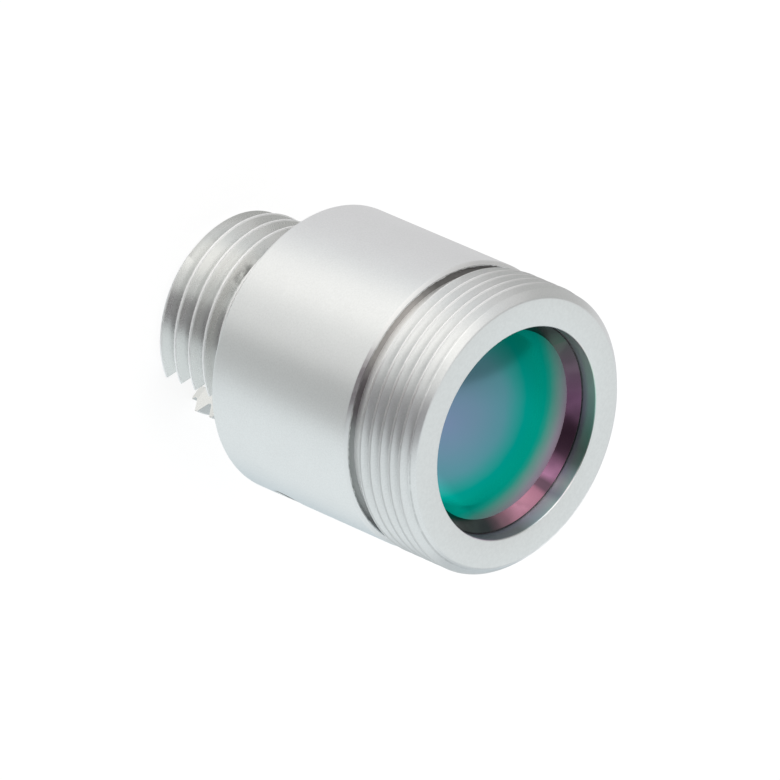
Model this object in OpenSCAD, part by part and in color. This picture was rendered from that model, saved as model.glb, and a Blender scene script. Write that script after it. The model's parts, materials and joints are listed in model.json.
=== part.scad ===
// Fixed-focus fiber collimator, in millimetres.
// It stands on the end face of its connector nipple: Z is the optical axis, with the lens on top.
// The key slot of the nipple and the glue port of the barrel face +X.

/* [Barrel] */
// Outside diameter of the plain body and of the front thread
barrel_d = 11; // [10:0.1:14]
// Wall between that diameter and the bore for the lens
lens_wall = 1.45; // [1.3:0.05:1.8]
// Wall between that diameter and the bore for the receptacle's stem
stem_wall = 1.75; // [1.65:0.05:1.9]
// Wide bevel at the front rim
front_bevel = 0.35; // [0.15:0.05:0.5]
// Small bevel at the rear rim
rear_bevel = 0.15; // [0.05:0.05:0.4]
// Break of the sharp edges at the aperture, the end of the thread and the rear bore
edge_break = 0.06; // [0.02:0.01:0.12]

/* [Front thread] */
// Pitch of the front thread, whose crests lie on the barrel's diameter
front_pitch = 0.5; // [0.35:0.05:0.75]
// Length of the front thread, from the front face
front_thread_len = 2.65; // [1.5:0.05:3.2]
// Width of the thread relief behind it
relief_w = 0.6; // [0.4:0.05:1]
// Bevel of the body's edge at the relief
shoulder_bevel = 0.12; // [0.04:0.02:0.2]
// How far the relief lies below the roots of the thread
relief_extra = 0.13; // [0.05:0.01:0.2]

/* [Glue port] */
// Diameter of the radial port that fixes the receptacle
port_d = 1.3; // [0.8:0.1:2]
// Distance of its centre from the barrel's rear face
port_from_rear = 1.95; // [1.5:0.05:2.3]
// Turn of the port about the optical axis, from the key slot
port_angle = 15; // [0:1:60]
// How far the adhesive stays below the barrel's surface
port_inset = 0.05; // [0.05:0.05:0.5]

/* [Lens] */
// Distance from the ferrule's tip to the back of the lens, which sets the focus and the barrel's length
back_focus = 4.95; // [4.8:0.05:9]
// Thickness of the lens on its axis
lens_thick = 2.6; // [2.2:0.1:3.2]
// Radius of the front surface at its vertex
lens_radius = 9.5; // [8:0.5:14]
// Conic constant of the front surface
lens_conic = -0.6; // [-1:0.1:0]
// Width of the sloping rim round the foot of the front surface
lens_rim_w = 0.39; // [0.2:0.01:0.6]
// Bevel at the rear edge of the lens
lens_rear_bevel = 0.2; // [0.1:0.05:0.4]
// Depth of the raised rim of the lens below the barrel's front face
lens_setback = 0.66; // [0.4:0.02:1]
// Radial gap between the lens and the bore that holds it
lens_gap = 0.05; // [0.02:0.01:0.08]
// Width of the ledge that the lens seats on
lens_ledge = 0.5; // [0.3:0.05:0.7]
// Width of the adhesive groove round the lens
glue_groove_w = 0.5; // [0.3:0.05:0.7]
// Depth of the adhesive groove in the wall of the bore
glue_groove_depth = 0.15; // [0.1:0.01:0.2]

/* [Receptacle] */
// Diameter over the crests of the nipple's thread
nipple_d = 7.94; // [7.8:0.01:8]
// Length of the nipple behind the barrel
nipple_len = 4.6; // [4.4:0.1:5.6]
// Lead-in bevel at the end of the nipple
nipple_bevel = 0.4; // [0.2:0.05:0.5]
// Bore of the nipple
nipple_bore_d = 6.1; // [5.8:0.05:6.2]
// Depth of that bore from the end of the nipple
nipple_bore_depth = 4.4; // [3.8:0.1:4.8]
// Width of the key slot
key_slot_w = 2.3; // [2.2:0.05:2.5]
// Length of the key slot from the end of the nipple
key_slot_len = 4.3; // [3.5:0.1:4.4]
// How far the stem reaches past the stop ring
stem_rim = 0.2; // [0.1:0.05:0.4]
// Radial clearance of the stem in the barrel's rear bore
stem_gap = 0.02; // [0.01:0.01:0.04]
// Free depth of the rear bore in front of the stem, for setting the focus
focus_travel = 0.3; // [0.1:0.1:0.6]
// Diameter of the centre boss
boss_d = 4.5; // [4.3:0.1:4.7]
// How far the boss ends inside the nipple
boss_recess = 0.9; // [0.5:0.1:1.5]

/* [Ferrule] */
// Bore of the alignment sleeve, for the ferrule
ferrule_d = 2.5; // [2.4:0.1:2.6]
// Wall of the alignment sleeve
sleeve_wall = 0.35; // [0.25:0.05:0.4]
// Width of the split in the sleeve
sleeve_split = 0.4; // [0.2:0.1:0.6]
// Clearance between the sleeve and its pocket, all round and at its mouth end
sleeve_gap = 0.05; // [0.02:0.01:0.08]
// Thickness of the lip that keeps the sleeve in
lip_t = 0.5; // [0.3:0.1:0.8]
// Distance of the ferrule's tip from the end of the nipple
ferrule_depth = 7; // [6.5:0.1:7]
// Thickness of the stop ring
stop_len = 1; // [0.8:0.1:1.2]
// How far the stop ring's rim is wider than the sleeve pocket
stop_ledge = 0.25; // [0.15:0.05:0.4]
// Diameter of the light hole in the stop ring
light_hole_d = 1.4; // [1:0.1:1.8]
// Straight part of the light hole, behind its cone
light_land = 0.2; // [0.1:0.05:0.3]
// Half angle of the cone that clears the beam
beam_angle = 36; // [30:1:40]

/* [Hidden] */
$fn = 96;

// Depth of a sixty degree external thread below its crests
thread_depth_ratio = 0.6134;
// Steps in the curve of the lens
lens_steps = 18;
// How far a cut runs past the surface that it opens
over = 1;

// Radii
barrel_r = barrel_d / 2;
relief_r = barrel_r - thread_depth_ratio * front_pitch - relief_extra;
front_bore_r = barrel_r - lens_wall;
lens_r = front_bore_r - lens_gap;
lens_foot_r = lens_r - lens_rim_w;
ledge_r = front_bore_r - lens_ledge;
glue_r = front_bore_r + glue_groove_depth;
stem_bore_r = barrel_r - stem_wall;
stem_r = stem_bore_r - stem_gap;
nipple_r = nipple_d / 2;
nipple_bore_r = nipple_bore_d / 2;
boss_r = boss_d / 2;
sleeve_bore_r = ferrule_d / 2;
sleeve_r = sleeve_bore_r + sleeve_wall;
pocket_r = sleeve_r + sleeve_gap;
stop_r = pocket_r + stop_ledge;
lip_r = sleeve_bore_r + sleeve_wall / 2;
light_hole_r = light_hole_d / 2;

// Heights in the receptacle, up from the end of the nipple
rear_z = nipple_len;
boss_z = boss_recess;
sleeve_z = boss_z + lip_t + sleeve_gap;
stop_end_z = ferrule_depth + stop_len;
stem_end_z = stop_end_z + stem_rim;
stem_bore_end_z = stem_end_z + focus_travel;
port_z = rear_z + port_from_rear;

// Heights in the lens: its raised rim is a forty-five degree cone that rises from the foot of the dome
lens_rear_z = ferrule_depth + back_focus;
lens_apex_z = lens_rear_z + lens_thick;
lens_foot_z = lens_apex_z - sag(lens_foot_r);
lens_rim_z = lens_foot_z + lens_rim_w;
glue_top_z = (lens_rim_z + lens_rear_z + glue_groove_w) / 2;
glue_bottom_z = glue_top_z - glue_groove_w;

// Heights at the front of the barrel
front_z = lens_rim_z + lens_setback;
thread_end_z = front_z - front_thread_len;
relief_z = thread_end_z - relief_w;

// Sag of the aspheric surface at radius r
function sag(r) =
    r * r / (lens_radius * (1 + sqrt(1 - (1 + lens_conic) * r * r / (lens_radius * lens_radius))));

// Half of the barrel's section, as radius and height
function barrel_section() = [
    [stem_bore_r + edge_break, rear_z],
    [barrel_r - rear_bevel, rear_z],
    [barrel_r, rear_z + rear_bevel],
    [barrel_r, relief_z - shoulder_bevel],
    [barrel_r - shoulder_bevel, relief_z],
    [relief_r, relief_z],
    [relief_r, thread_end_z],
    [barrel_r - edge_break, thread_end_z],
    [barrel_r, thread_end_z + edge_break],
    [barrel_r, front_z - front_bevel],
    [barrel_r - front_bevel, front_z],
    [front_bore_r + edge_break, front_z],
    [front_bore_r, front_z - edge_break],
    [front_bore_r, glue_top_z],
    [glue_r, glue_top_z],
    [glue_r, glue_bottom_z],
    [front_bore_r, glue_bottom_z],
    [front_bore_r, lens_rear_z],
    [ledge_r, lens_rear_z],
    [ledge_r, stem_bore_end_z],
    [stem_bore_r, stem_bore_end_z],
    [stem_bore_r, rear_z + edge_break],
];

// Half of the receptacle's section, without the slot
function receptacle_section() = [
    [nipple_bore_r + edge_break, 0],
    [nipple_r - nipple_bevel, 0],
    [nipple_r, nipple_bevel],
    [nipple_r, rear_z],
    [stem_r, rear_z],
    [stem_r, stem_end_z - edge_break],
    [stem_r - edge_break, stem_end_z],
    [stop_r + (stem_end_z - stop_end_z), stem_end_z],
    [stop_r, stop_end_z],
    [stop_r, ferrule_depth],
    [pocket_r, ferrule_depth],
    [pocket_r, sleeve_z - sleeve_gap],
    [lip_r, sleeve_z - sleeve_gap],
    [lip_r, boss_z + lip_t / 2],
    [lip_r + lip_t / 2, boss_z],
    [boss_r - edge_break, boss_z],
    [boss_r, boss_z + edge_break],
    [boss_r, nipple_bore_depth],
    [nipple_bore_r, nipple_bore_depth],
    [nipple_bore_r, edge_break],
];

// Half of the lens: the aspheric dome, the raised rim and the flat back
function lens_section() = concat(
    [for (i = [0:lens_steps]) let (r = lens_foot_r * i / lens_steps) [r, lens_apex_z - sag(r)]],
    [
        [lens_r, lens_rim_z],
        [lens_r, lens_rear_z + lens_rear_bevel],
        [lens_r - lens_rear_bevel, lens_rear_z],
        [0, lens_rear_z],
    ]
);

// Places what points along +X at the glue port's height and turn
module at_port() {
    translate([0, 0, port_z])
        rotate([0, 0, port_angle])
            rotate([0, 90, 0])
                children();
}

// One turned piece: front thread, relief, plain body, lens seat and rear bore, with the drilled glue port
module barrel() {
    color([0.78, 0.79, 0.79])
        difference() {
            rotate_extrude() polygon(barrel_section());
            at_port()
                translate([0, 0, stem_bore_r - over])
                    cylinder(r = port_d / 2, h = barrel_r - stem_bore_r + 2 * over);
        }
}

// One turned piece with a milled key slot: nipple, centre boss with the sleeve pocket, and stem
module receptacle() {
    color([0.72, 0.74, 0.74])
        difference() {
            rotate_extrude() polygon(receptacle_section());
            key_slot();
        }
}

// The slot that the connector's key slides into, with the round end that its cutter leaves
module key_slot() {
    slot_from = (nipple_bore_r + boss_r) / 2;
    slot_reach = nipple_r - slot_from + over;
    round_z = key_slot_len - key_slot_w / 2;
    translate([slot_from, -key_slot_w / 2, -over])
        cube([slot_reach, key_slot_w, round_z + over]);
    translate([slot_from, 0, round_z])
        rotate([0, 90, 0])
            cylinder(r = key_slot_w / 2, h = slot_reach);
}

// Moulded asphere with a raised rim
module lens() {
    color([0.16, 0.5, 0.5])
        rotate_extrude() polygon(lens_section());
}

// Adhesive that fills the groove round the lens and the gap up to its rim
module lens_adhesive() {
    color([0.08, 0.08, 0.08])
        rotate_extrude()
            polygon([
                [lens_r, glue_bottom_z],
                [glue_r, glue_bottom_z],
                [glue_r, glue_top_z],
                [front_bore_r, glue_top_z],
                [front_bore_r, lens_rim_z - lens_gap],
                [lens_r, lens_rim_z - lens_gap],
            ]);
}

// Adhesive in the glue port, from the stem out to just below the barrel's surface
module port_adhesive() {
    color([0.08, 0.08, 0.08])
        difference() {
            at_port()
                translate([0, 0, stem_r - over])
                    cylinder(r = port_d / 2, h = barrel_r - port_inset - stem_r + over);
            cylinder(r = stem_r, h = front_z);
        }
}

// Split sleeve that centres the ferrule, loose in its pocket in the boss
module ferrule_sleeve() {
    color([0.9, 0.88, 0.82])
        translate([0, 0, sleeve_z])
            difference() {
                cylinder(r = sleeve_r, h = ferrule_depth - sleeve_z);
                translate([0, 0, -over])
                    cylinder(r = sleeve_bore_r, h = ferrule_depth + over);
                translate([-sleeve_r - over, -sleeve_split / 2, -over])
                    cube([sleeve_r + over, sleeve_split, ferrule_depth + over]);
            }
}

// Ring that the ferrule's tip rests against, with the cone that lets the beam out
module ferrule_stop() {
    color([0.7, 0.7, 0.7])
        rotate_extrude()
            polygon([
                [light_hole_r, ferrule_depth],
                [stop_r, ferrule_depth],
                [stop_r, stop_end_z],
                [light_hole_r + (stop_len - light_land) * tan(beam_angle), stop_end_z],
                [light_hole_r, ferrule_depth + light_land],
            ]);
}

barrel();
receptacle();
lens();
lens_adhesive();
port_adhesive();
ferrule_sleeve();
ferrule_stop();
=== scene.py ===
"""Looks of the fiber collimator.

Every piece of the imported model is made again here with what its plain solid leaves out: helical
threads, eased edges, meniscuses and the coated asphere. The part stands on its connector nipple
on a white table, and the camera looks down on it from the photograph's angle.

Sections and pieces are worked out in millimetres and scaled to metres when they are finished.
Angles are in degrees. Colours that change round the axis are given from -180 to 180.
"""

from __future__ import annotations

import json
import logging
import math
from dataclasses import dataclass
from enum import Enum
from typing import Any
from typing import Callable
from typing import NamedTuple
from typing import Sequence

import bmesh
import bpy
from mathutils import Matrix
from mathutils import Vector

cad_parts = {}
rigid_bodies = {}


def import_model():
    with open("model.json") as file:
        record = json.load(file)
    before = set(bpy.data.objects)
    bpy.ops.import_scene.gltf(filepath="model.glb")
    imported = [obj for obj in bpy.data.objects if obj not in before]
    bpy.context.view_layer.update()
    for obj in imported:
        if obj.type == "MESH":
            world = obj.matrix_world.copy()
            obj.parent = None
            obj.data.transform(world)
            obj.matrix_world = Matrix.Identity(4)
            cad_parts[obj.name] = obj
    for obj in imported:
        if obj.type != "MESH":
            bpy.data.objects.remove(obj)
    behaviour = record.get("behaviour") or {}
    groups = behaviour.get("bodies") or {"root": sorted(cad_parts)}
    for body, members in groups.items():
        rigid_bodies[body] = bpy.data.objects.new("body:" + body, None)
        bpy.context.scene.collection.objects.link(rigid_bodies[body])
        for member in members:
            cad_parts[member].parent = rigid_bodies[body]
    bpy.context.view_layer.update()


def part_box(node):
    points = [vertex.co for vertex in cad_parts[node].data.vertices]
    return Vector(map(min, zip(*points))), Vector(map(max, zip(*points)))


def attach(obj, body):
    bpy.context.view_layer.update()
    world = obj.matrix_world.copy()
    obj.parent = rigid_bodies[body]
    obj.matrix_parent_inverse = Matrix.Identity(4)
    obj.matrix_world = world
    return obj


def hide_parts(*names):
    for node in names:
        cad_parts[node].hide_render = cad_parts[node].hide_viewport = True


LOG = logging.getLogger("collimator")
MM = 0.001
FULL_TURN = 2 * math.pi
TURN_STEPS = 256
SMOOTH_ANGLE = math.radians(33)
AXIS = {"cent": (0, 0, 0), "axis": (0, 0, 1)}

# Sizes that several pieces share

THREAD_DEPTH = 0.6134
CREST_AZIMUTH = -71.85
STEM_WALL = 1.75
PORT_TURN = 15.0
PORT_REACH = 0.5
GLUE_GROOVE = 0.5
FACED_SLANT = 0.999
CUTTER_SPARE = 1.0

Colour = tuple[float, float, float]
Stops = tuple[tuple[float, Colour], ...]
Socket = bpy.types.NodeSocket
Material = bpy.types.Material
BMesh = bmesh.types.BMesh
Values = dict[str | int, Any]
Given = Values | None


class Slot(Enum):
    """Material slots of the record."""

    BARREL = "barrel_steel"
    RECEPTACLE = "receptacle_steel"
    LENS = "coated_lens"
    EPOXY = "epoxy"
    CERAMIC = "ceramic"
    STOP = "stop_steel"


class Side(Enum):
    """How the faces of a turned piece are told apart for their finish."""

    TURNED = 0
    FACED = 1
    RELIEF = 2
    BORED = 3
    REAR = 4
    FLOOR = 5


class LensSide(Enum):
    """How the faces of the lens are told apart for their finish."""

    DOME = 0
    RIM = 1


def mm(*lengths: float) -> list[float]:
    """Returns lengths in millimetres as metres."""
    return [size * MM for size in lengths]


def cosine(angle: float) -> float:
    """Returns the cosine of an angle in degrees."""
    return math.cos(math.radians(angle))


def sine(angle: float) -> float:
    """Returns the sine of an angle in degrees."""
    return math.sin(math.radians(angle))


def grey(level: float) -> Colour:
    """Returns a colour without a tint."""
    return (level, level, level)


def shade(colour: Colour, level: float) -> Colour:
    """Returns a colour made lighter or darker."""
    return (colour[0] * level, colour[1] * level, colour[2] * level)


# Shader maths


def on_numbers(operation: str, turned_round: bool = False) -> Callable[[Signal, Any], Signal]:
    """Makes the method behind one of Python's operators.

    Args:
        operation: operation of the Math node that it adds.
        turned_round: whether the signal stands after the operator.

    Returns:
        The method, for a signal and another signal or number.
    """

    def method(signal: Signal, other: Signal | float) -> Signal:
        """Adds the node on the two."""
        first, second = (other, signal) if turned_round else (signal, other)
        return signal.shader.number("ShaderNodeMath", {"operation": operation}, {0: first, 1: second})

    return method


class Signal:
    """A number that comes out of a node. Python's operators on it add Math nodes."""

    def __init__(self, shader: Shader, socket: Socket) -> None:
        """Wraps one output socket of the shader's tree."""
        self.shader = shader
        self.socket = socket

    __add__ = on_numbers("ADD")
    __radd__ = on_numbers("ADD", turned_round=True)
    __sub__ = on_numbers("SUBTRACT")
    __rsub__ = on_numbers("SUBTRACT", turned_round=True)
    __mul__ = on_numbers("MULTIPLY")
    __rmul__ = on_numbers("MULTIPLY", turned_round=True)
    __truediv__ = on_numbers("DIVIDE")
    __pow__ = on_numbers("POWER")

    def rise(self, low: float, high: float) -> Signal:
        """Goes smoothly from 0 at low to 1 at high, and stays there.

        Args:
            low: value of the signal where the rise starts.
            high: value of the signal where it ends. It may be below low.

        Returns:
            The eased share of the way from low to high.
        """
        settings = {"interpolation_type": "SMOOTHSTEP"}
        values = {"Value": self, "From Min": low, "From Max": high, "To Min": 0.0, "To Max": 1.0}
        return self.shader.number("ShaderNodeMapRange", settings, values, "Result")

    def close(self, reach: float, core: float) -> Signal:
        """Tells where the signal, a distance in metres, is close to 0.

        Args:
            reach: distance in millimetres from which the answer is 0.
            core: share of the squared reach within which it is 1.

        Returns:
            A share from 0 to 1.
        """
        squared = (reach * MM) ** 2
        return (self * self).rise(squared, core * squared)


def length(x: Signal, y: Signal) -> Signal:
    """Returns the length of a flat vector."""
    return (x * x + y * y) ** 0.5


class Shader:
    """Builds the node tree of a material or of the world."""

    def __init__(self, owner: Material | bpy.types.World) -> None:
        """Empties the owner's node tree and works in it."""
        owner.use_nodes = True
        self.tree = owner.node_tree
        self.tree.nodes.clear()

    def node(self, kind: str, settings: Given = None, values: Given = None) -> bpy.types.Node:
        """Adds a node, sets it, and then fills or links its sockets.

        Args:
            kind: type of the node.
            settings: properties of the node; "stops" holds the positions and colours of a ramp.
            values: numbers, colours, signals or sockets, by the name or number of the input.

        Returns:
            The new node.
        """
        made = self.tree.nodes.new(kind)
        for name, setting in (settings or {}).items():
            if name == "stops":
                self._set_stops(made.color_ramp, setting)
            else:
                setattr(made, name, setting)
        for name, value in (values or {}).items():
            self._fill(made.inputs[name], value)
        return made

    def _set_stops(self, ramp: bpy.types.ColorRamp, stops: Sequence[tuple[float, Colour]]) -> None:
        """Gives a colour ramp its stops, in rising order."""
        while len(ramp.elements) < len(stops):
            ramp.elements.new(1.0)
        for element, (position, colour) in zip(ramp.elements, stops):
            element.position = position
            element.color = (*colour, 1.0)

    def _fill(self, socket: Socket, value: Any) -> None:
        """Links a signal or a socket to an input, or writes a plain value on it."""
        if isinstance(value, Signal):
            self.tree.links.new(value.socket, socket)
        elif isinstance(value, Socket):
            self.tree.links.new(value, socket)
        elif socket.type == "RGBA":
            socket.default_value = (*value, 1.0)
        else:
            socket.default_value = value

    def number(
        self, kind: str, settings: Given = None, values: Given = None, output: str | int = 0
    ) -> Signal:
        """Adds a node and returns one of its outputs as a signal."""
        return Signal(self, self.node(kind, settings, values).outputs[output])

    def split(self, vector: Socket) -> tuple[Signal, Signal, Signal]:
        """Returns the three parts of a vector as signals."""
        parts = self.node("ShaderNodeSeparateXYZ", None, {0: vector}).outputs
        return Signal(self, parts[0]), Signal(self, parts[1]), Signal(self, parts[2])

    def join(self, x: Signal | float, y: Signal | float, z: Signal | float) -> Socket:
        """Returns a vector made of three signals or numbers."""
        return self.node("ShaderNodeCombineXYZ", None, {0: x, 1: y, 2: z}).outputs[0]

    def blend(self, share: Signal | float, first: Any, second: Any) -> Socket:
        """Mixes two colours.

        Args:
            share: 0 where the first shows, 1 where the second does.
            first: a colour or its socket.
            second: a colour or its socket.

        Returns:
            The mixed colour.
        """
        made = self.node("ShaderNodeMix", {"data_type": "RGBA"}, {"Factor": share, 6: first, 7: second})
        return made.outputs[2]

    def scaled(self, colour: Colour | Socket, level: Signal) -> Socket:
        """Returns a colour made lighter or darker by a signal that is 1 where it stays as it is."""
        values = {0: colour, "Scale": level}
        return self.node("ShaderNodeVectorMath", {"operation": "SCALE"}, values).outputs[0]

    def ramp(self, stops: Sequence[tuple[float, Colour]], position: Signal) -> Socket:
        """Returns the colour of a ramp at a position from 0 to 1."""
        return self.node("ShaderNodeValToRGB", {"stops": stops}, {0: position}).outputs[0]

    def noise(self, vector: Socket, width: float, detail: float) -> Signal:
        """Returns a noise between 0 and 1.

        Args:
            vector: coordinates in metres that the noise is read at.
            width: width of its bumps in millimetres.
            detail: number of finer layers.

        Returns:
            The noise as a signal.
        """
        values = {"Vector": vector, "Scale": 1 / (width * MM), "Detail": detail, "Roughness": 0.55}
        return self.number("ShaderNodeTexNoise", None, values, "Fac")

    def bump(self, height: Signal, depth: float) -> Socket:
        """Returns the normal of a surface whose height varies by up to depth, in millimetres."""
        return self.node("ShaderNodeBump", None, {"Distance": depth * MM, "Height": height}).outputs[0]

    def azimuth(self, x: Signal, y: Signal) -> Signal:
        """Returns the angle round the axis, in radians."""
        return self.number("ShaderNodeMath", {"operation": "ARCTAN2"}, {0: y, 1: x})

    def round_about(self, stops: Stops, x: Signal, y: Signal, stray: Signal | float = 0.0) -> Socket:
        """Returns a colour that changes with the angle round the axis.

        Args:
            stops: angles with their colours.
            x: first coordinate of the place.
            y: second coordinate of the place.
            stray: how far the colours wander, as a share of the whole turn.

        Returns:
            The colour at that angle.
        """
        shares = [((angle + 180) / 360, colour) for angle, colour in stops]
        return self.ramp(shares, self.azimuth(x, y) / FULL_TURN + 0.5 + stray)

    def surface(self, shader: bpy.types.Node) -> None:
        """Makes a shader node the surface of the material or world."""
        kind = "ShaderNodeOutputWorld" if shader.type == "BACKGROUND" else "ShaderNodeOutputMaterial"
        self.node(kind, None, {"Surface": shader.outputs[0]})


# Finishes


@dataclass(frozen=True)
class Finish:
    """A finish, laid out on the piece's own coordinates. Its widths and depths are in millimetres."""

    name: str

    def sockets(self, shader: Shader, place: Socket) -> Values:
        """Works out what the finish looks like.

        Args:
            shader: shader of the material.
            place: coordinates on the piece, in metres.

        Returns:
            Values, signals and sockets for the Principled shader, by the name of the input.
        """
        raise NotImplementedError

    def material(self) -> Material:
        """Builds the material."""
        made = bpy.data.materials.new(self.name)
        shader = Shader(made)
        place = shader.node("ShaderNodeTexCoord").outputs["Object"]
        shader.surface(shader.node("ShaderNodeBsdfPrincipled", None, self.sockets(shader, place)))
        return made


class ScuffAndShade(NamedTuple):
    """A darker patch on a turned piece, for scuffs that wear left and for painted shade."""

    azimuth: float
    z: float
    half_turn: float
    half_height: float
    depth: float
    core: float = 0.2
    smear_width: float = 0.4
    smears: tuple[float, float] = (0.34, 0.64)

    def kept(self, shader: Shader, x: Signal, y: Signal, z: Signal) -> Signal:
        """Returns the share of light that the patch leaves at a place: 1 outside it, less inside."""
        facing = (cosine(self.azimuth) * x + sine(self.azimuth) * y) / length(x, y)
        near = (z - self.z * MM).close(self.half_height, self.core)
        near = near * facing.rise(cosine(self.half_turn), cosine(self.half_turn / 2))
        smears = shader.noise(shader.join(x, y, 2 * z), self.smear_width, 3.0)
        return 1 - self.depth * near * smears.rise(*self.smears)


class Line(NamedTuple):
    """A band round a turned piece, whose colour changes round the axis. It draws a tool's burr and
    bands of painted highlight, shade and reflection.

    It lies at z at azimuth 0 and climbs by climb in a full turn. It is missing in places, by the
    share broken.
    """

    z: float
    climb: float
    half_height: float
    broken: float
    colours: Stops
    core: float = 0.3
    bead_width: float = 0.3
    beads: tuple[float, float] = (0.35, 0.6)

    def drawn(self, shader: Shader, place: Socket, under: Socket) -> Socket:
        """Draws the line.

        Args:
            shader: shader of the material.
            place: coordinates on the piece, in metres.
            under: colour of the steel under the line.

        Returns:
            The colour with the line on it.
        """
        x, y, z = shader.split(place)
        away = z - self.z * MM - self.climb * MM / FULL_TURN * shader.azimuth(x, y)
        beads = shader.noise(place, self.bead_width, 3.0).rise(*self.beads)
        shown = away.close(self.half_height, self.core) * (1 - self.broken + self.broken * beads)
        return shader.blend(shown, under, shader.round_about(self.colours, x, y))


@dataclass(frozen=True)
class TurnedSteel(Finish):
    """Stainless steel off the lathe, with fine marks round the axis.

    The sheen is drawn out across the marks, so bands of light run along the piece. Its colour also
    carries painted light: painted shade in the thread roots, painted highlights and shade on the
    crests, and the darker patches and lines that it is given.
    """

    colour: Colour
    crest_r: float = 0.0
    threads: tuple[float, float] = (0.0, 0.0)
    roughness: float = 0.42
    thread_roughness: float = 0.34
    crest_roughness: float = 0.7
    # Painted shade: share of the colour left in the thread roots
    painted_root_shade: float = 0.93
    thread_fade: float = 0.05
    crest_w: float = 0.05
    drawn_out: float = 0.7
    mark_width: float = 0.11
    mark_depth: float = 0.0016
    mark_gloss: float = 0.08
    cloud_width: float = 1.3
    cloud_share: float = 0.02
    grain_width: float = 0.06
    grain_share: float = 0.09
    grain_height: float = 0.2
    grain_gloss: float = 0.05
    # Painted light on the crests: colours round the axis that stand in for highlights and shade
    crest_light_and_shade: Stops = ((-180, grey(1.0)), (180, grey(1.0)))
    scuffs_and_shade: tuple[ScuffAndShade, ...] = ()
    lines: tuple[Line, ...] = ()

    def sockets(self, shader: Shader, place: Socket) -> Values:
        """Works out the steel: clouds and grain, painted root shade and crest light, patches, lines."""
        x, y, z = shader.split(place)
        radius = length(x, y)
        marks = shader.noise(shader.join(radius, z, 0.0), self.mark_width, 3.0)
        clouds = shader.noise(place, self.cloud_width, 3.0)
        grain = shader.noise(place, self.grain_width, 2.0)
        low, high = self.threads
        threads = z.rise(*mm(low - self.thread_fade, low)) * z.rise(*mm(high + self.thread_fade, high))
        inside = radius.rise(*mm(self.crest_r - 0.5 * self.crest_w, self.crest_r - self.crest_w))
        crest = threads * (1 - inside)
        mottle = self.cloud_share * (clouds - 0.5) + self.grain_share * (grain - 0.5)
        # Painted shade darkens the thread roots; the mottle is the steel's own random tone
        level = 1 + 2 * mottle - (1 - self.painted_root_shade) * threads * inside
        # Darker patches: scuffs, and painted shade
        for scuff_and_shade in self.scuffs_and_shade:
            level = level * scuff_and_shade.kept(shader, x, y, z)
        colour = shader.scaled(self.colour, level)
        # Painted light: the crests take the brighter or darker crest colours
        colour = shader.blend(crest, colour, shader.round_about(self.crest_light_and_shade, x, y))
        for line in self.lines:
            colour = line.drawn(shader, place, colour)
        spread = self.roughness + (self.thread_roughness - self.roughness) * threads
        spread = spread + (self.crest_roughness - self.thread_roughness) * crest
        return {
            "Base Color": colour,
            "Metallic": 1.0,
            "Roughness": spread + self.mark_gloss * (marks - 0.5) + self.grain_gloss * (grain - 0.5),
            "Anisotropic": self.drawn_out,
            "Anisotropic Rotation": 0.25,
            "Normal": shader.bump(marks + self.grain_height * grain, self.mark_depth),
        }


@dataclass(frozen=True)
class FacedSteel(Finish):
    """Stainless steel of a flat face, evenly satin with the faintest rings."""

    colour: Colour
    roughness: float = 0.42
    dark: float = 0.97
    light: float = 1.02
    grain_reach: tuple[float, float] = (0.3, 0.7)
    grain_gloss: float = 0.06
    ring_width: float = 0.13
    ring_depth: float = 0.0008

    def sockets(self, shader: Shader, place: Socket) -> Values:
        """Works out the grain and the rings."""
        x, y, _ = shader.split(place)
        rings = shader.noise(shader.join(length(x, y), 0.0, 0.0), self.ring_width, 2.0)
        grain = shader.noise(place, self.ring_width, 3.0)
        dark = shade(self.colour, self.dark)
        light = shade(self.colour, self.light)
        return {
            "Base Color": shader.blend(grain.rise(*self.grain_reach), dark, light),
            "Metallic": 1.0,
            "Roughness": self.roughness + self.grain_gloss * (grain - 0.5),
            "Normal": shader.bump(rings + grain, self.ring_depth),
        }


@dataclass(frozen=True)
class ReliefWall(Finish):
    """The wall that the parting tool left at the thread relief.

    Its colour is painted shade, darker on some stretches round the axis than on others, with a
    ragged bright edge that has painted shade on one stretch.
    """

    edge_r: float
    # Painted shade: colours of the wall round the axis
    painted_shade: Stops = (
        (-180, (0.25, 0.24, 0.24)), (-118, (0.17, 0.165, 0.16)), (-104, (0.42, 0.4, 0.39)),
        (-76, (0.42, 0.4, 0.39)), (-66, (0.22, 0.2, 0.21)), (-54, (0.22, 0.2, 0.21)),
        (-46, (0.34, 0.35, 0.35)), (-14, (0.34, 0.35, 0.35)), (2, grey(0.25)),
        (180, (0.25, 0.24, 0.24)),
    )
    # The edge's colours round the axis, with painted shade from -73 to -59 degrees
    edge_light_and_shade: Stops = (
        (-180, grey(0.8)), (-82, grey(0.8)), (-73, (0.32, 0.3, 0.31)), (-59, (0.32, 0.3, 0.31)),
        (-50, grey(0.8)), (180, grey(0.8)),
    )
    edge_w: tuple[float, float] = (0.06, 0.03)
    tear_width: float = 0.2
    tear_depth: float = 0.004
    ragged_w: float = 0.07
    stray: float = 0.01
    roughness: float = 0.24

    def sockets(self, shader: Shader, place: Socket) -> Values:
        """Works out the wall's painted shade and its torn edge."""
        x, y, _ = shader.split(place)
        tears = shader.noise(place, self.tear_width, 4.0)
        reach = length(x, y) + 2 * self.ragged_w * MM * (tears - 0.5)
        torn = reach.rise(*mm(*(self.edge_r - width for width in self.edge_w)))
        painted_shade = shader.round_about(self.painted_shade, x, y, self.stray * (tears - 0.5))
        return {
            "Base Color": shader.blend(torn, painted_shade, shader.round_about(self.edge_light_and_shade, x, y)),
            "Metallic": 1.0,
            "Roughness": self.roughness,
            "Normal": shader.bump(tears, self.tear_depth),
        }


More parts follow.
